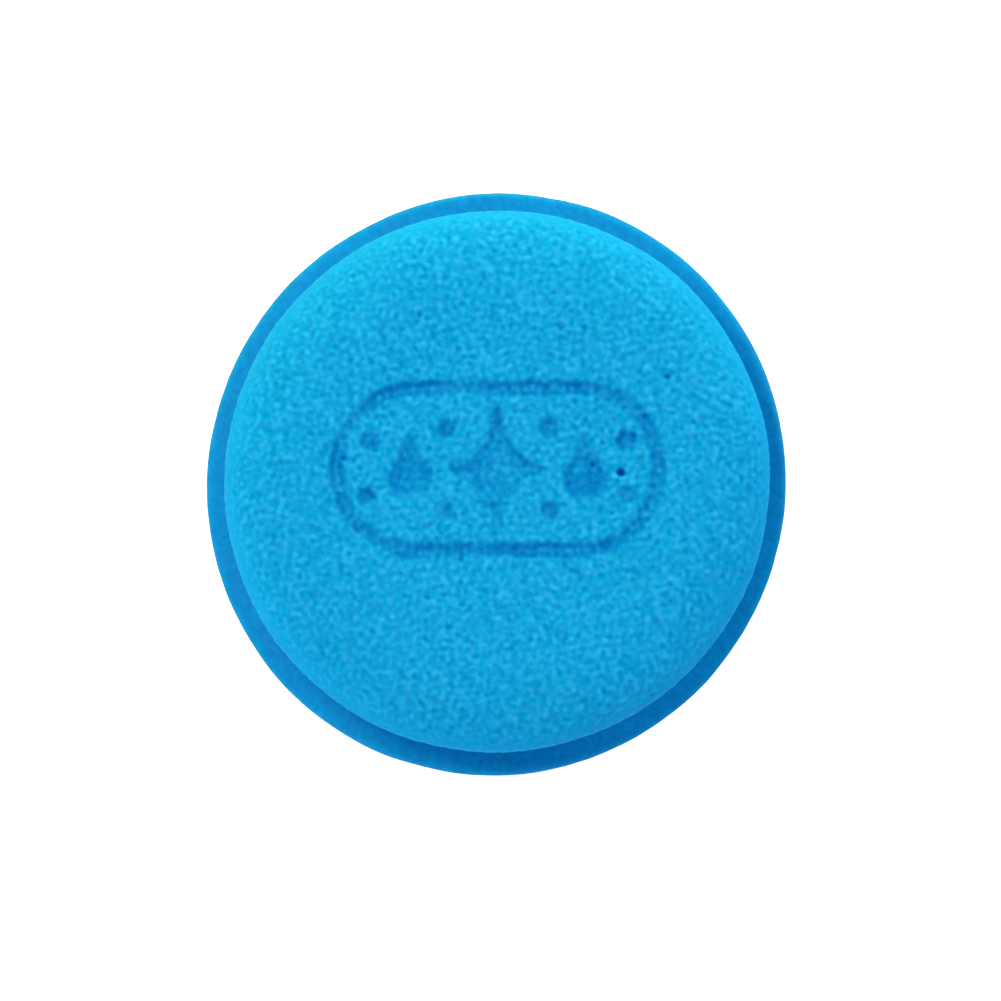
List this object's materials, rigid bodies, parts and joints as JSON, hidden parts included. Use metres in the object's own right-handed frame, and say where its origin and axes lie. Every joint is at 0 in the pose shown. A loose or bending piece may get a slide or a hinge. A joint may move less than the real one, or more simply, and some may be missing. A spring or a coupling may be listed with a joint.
{
  "type": "hand clay pad",
  "caption": "Round hand-held clay pad: a wide disc of polymer clay bonded under a waisted foam grip with a domed, embossed top.",
  "frame": {"origin": "centre of the clay's flat working face, which lies on the paint", "axes": "+Z out of the clay and up through the grip, +Y to the top of the emblem pressed into the grip, +X to the emblem's right"},
  "size_m": [0.09, 0.09, 0.03],
  "materials": {
    "foam": "matt fine-celled sky-blue polyurethane foam with a soft moulded skin",
    "film": "thin translucent bonding film, seen only as a line at its rim",
    "clay": "smooth satin deep-blue polymer clay"
  },
  "bodies": {
    "root": {"foam_grip": "foam", "adhesive_film": "film", "clay_disc": "clay"}
  },
  "joints": []
}
